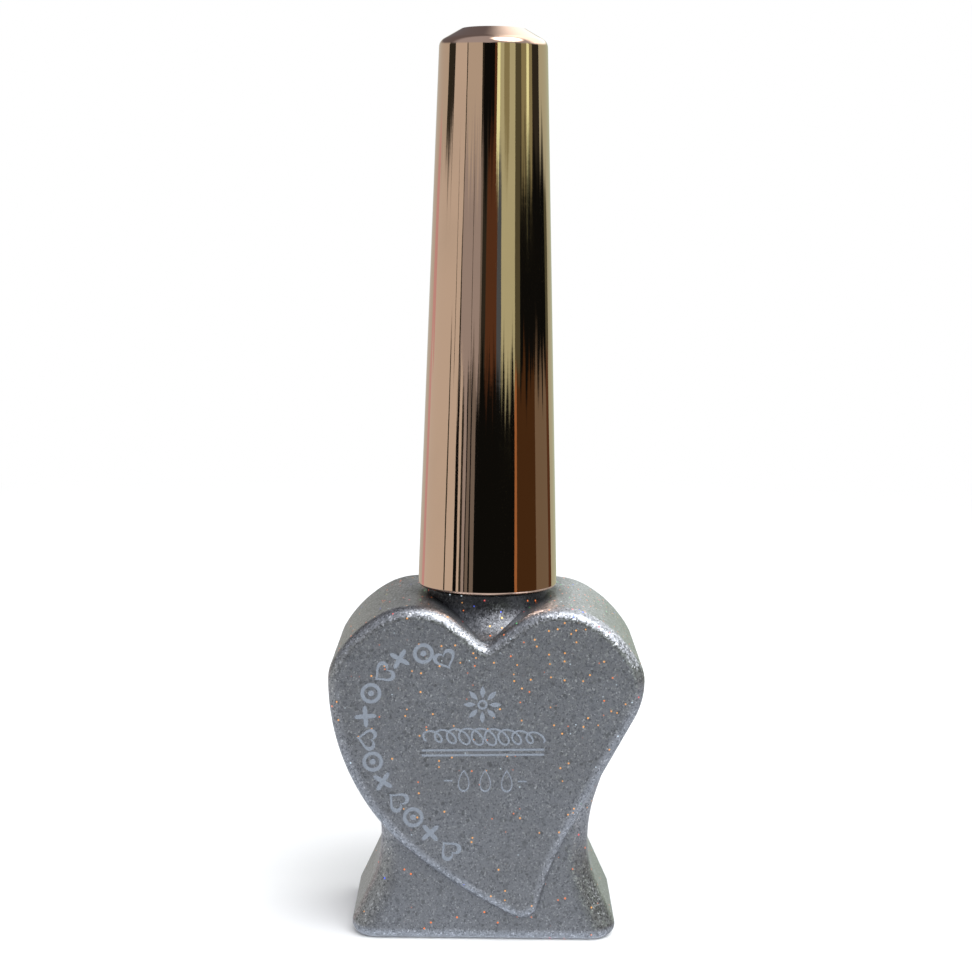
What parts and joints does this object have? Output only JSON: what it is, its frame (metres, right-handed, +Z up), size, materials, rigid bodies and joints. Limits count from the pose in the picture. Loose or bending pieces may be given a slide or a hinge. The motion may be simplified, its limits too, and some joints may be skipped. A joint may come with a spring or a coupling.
{
  "type": "nail polish bottle",
  "caption": "Heart-shaped glass nail polish bottle on a flared foot, glitter lacquer outside, with a tall tapered mirror cap that unscrews and lifts out the brush.",
  "frame": {"origin": "centre of the base, on the surface that the bottle stands on", "axes": "+Z up along the neck, +X to the right seen from the front, -Y towards the front, +Y towards the back"},
  "size_m": [0.0398, 0.0246, 0.1149],
  "materials": {
    "bottle_glass": "clear moulded soda-lime glass",
    "glitter_lacquer": "silver-grey metallic lacquer with fine holographic glitter",
    "gel": "thick silver glitter gel",
    "ball_steel": "polished stainless steel",
    "liner_foam": "white expanded polyethylene",
    "inner_plastic": "white moulded polypropylene",
    "rose_gold_metallised": "mirror rose-gold metallised plastic",
    "stem_plastic": "white moulded polyethylene",
    "staple_wire": "drawn stainless wire",
    "nylon_hair": "fine nylon filaments"
  },
  "bodies": {
    "bottle": {"glass_bottle": "bottle_glass", "glitter_coat": "glitter_lacquer", "gel_polish": "gel"},
    "ball_1": {"mixing_ball_1": "ball_steel"},
    "ball_2": {"mixing_ball_2": "ball_steel"},
    "washer": {"sealing_liner": "liner_foam"},
    "brush": {"brush_stem": "stem_plastic", "tuft_staple": "staple_wire", "bristle_tuft": "nylon_hair"},
    "cap": {"inner_cap": "inner_plastic", "cap_shell": "rose_gold_metallised"}
  },
  "joints": [
    {"name": "ball_1_roll", "type": "slide", "parent": "bottle", "child": "ball_1", "axis": [1, 0, 0], "range_m": [-0.0015, 0.0015]},
    {"name": "ball_2_roll", "type": "slide", "parent": "bottle", "child": "ball_2", "axis": [1, 0, 0], "range_m": [-0.0015, 0.0015]},
    {"name": "pull_out", "type": "slide", "parent": "bottle", "child": "washer", "axis": [0, 0, 1], "range_m": [0, 0.06]},
    {"name": "thread_lift", "type": "slide", "parent": "washer", "child": "brush", "axis": [0, 0, 1], "range_m": [0, 0.0027]},
    {"name": "cap_turn", "type": "hinge", "parent": "brush", "child": "cap", "pos_m": [0, 0, 0.0443], "axis": [0, 0, 1], "range_deg": [0, 450]}
  ],
  "couplings": [
    {"joint": "thread_lift", "follows": "cap_turn", "m_per_rad": 0.00033693}
  ]
}
